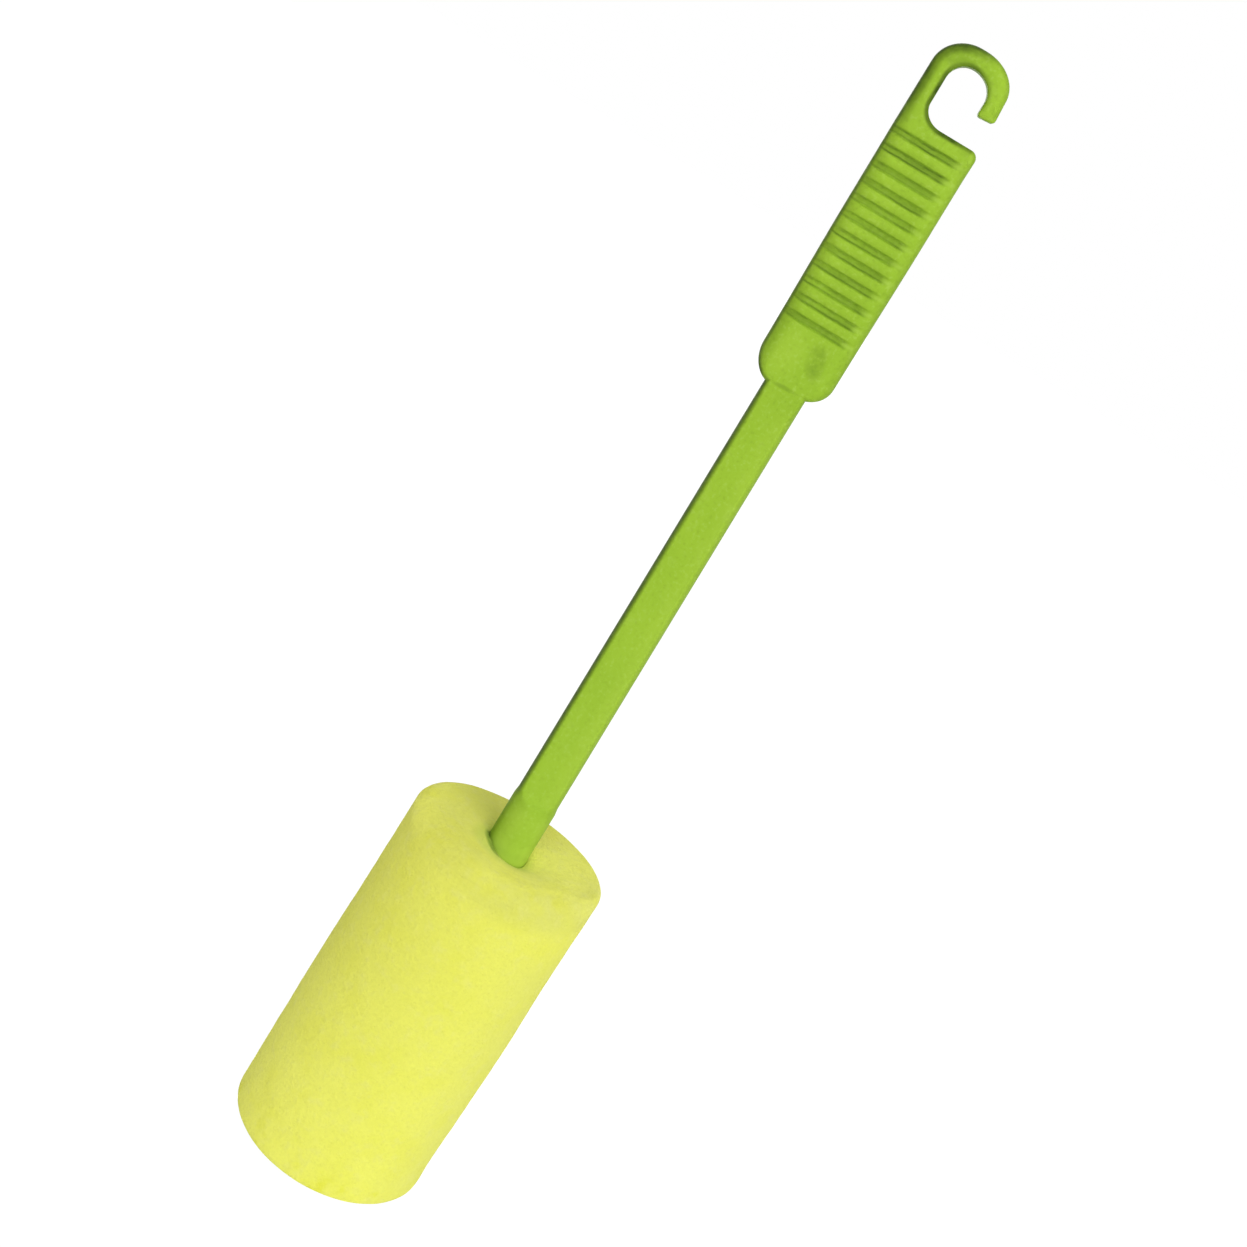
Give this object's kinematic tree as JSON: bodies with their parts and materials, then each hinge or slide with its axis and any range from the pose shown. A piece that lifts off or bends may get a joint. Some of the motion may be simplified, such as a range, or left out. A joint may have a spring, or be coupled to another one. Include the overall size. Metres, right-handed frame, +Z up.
{
  "type": "vacuum flask brush",
  "caption": "Long-handled foam brush for cleaning inside a vacuum flask: a foam cylinder on the barbed end of a moulded handle with a ribbed grip and an open hanging hook.",
  "frame": {"origin": "centre of the foam head's flat lower face, on which the brush stands", "axes": "+Z up the handle to the hook, +X the side that the hook opens to, -Y the front of the grip"},
  "size_m": [0.052, 0.052, 0.3115],
  "materials": {
    "green_plastic": "satin, moulded",
    "yellow_foam": "fine open-celled foam, matt"
  },
  "bodies": {
    "root": {"handle": "green_plastic", "sponge_head": "yellow_foam"}
  },
  "joints": []
}
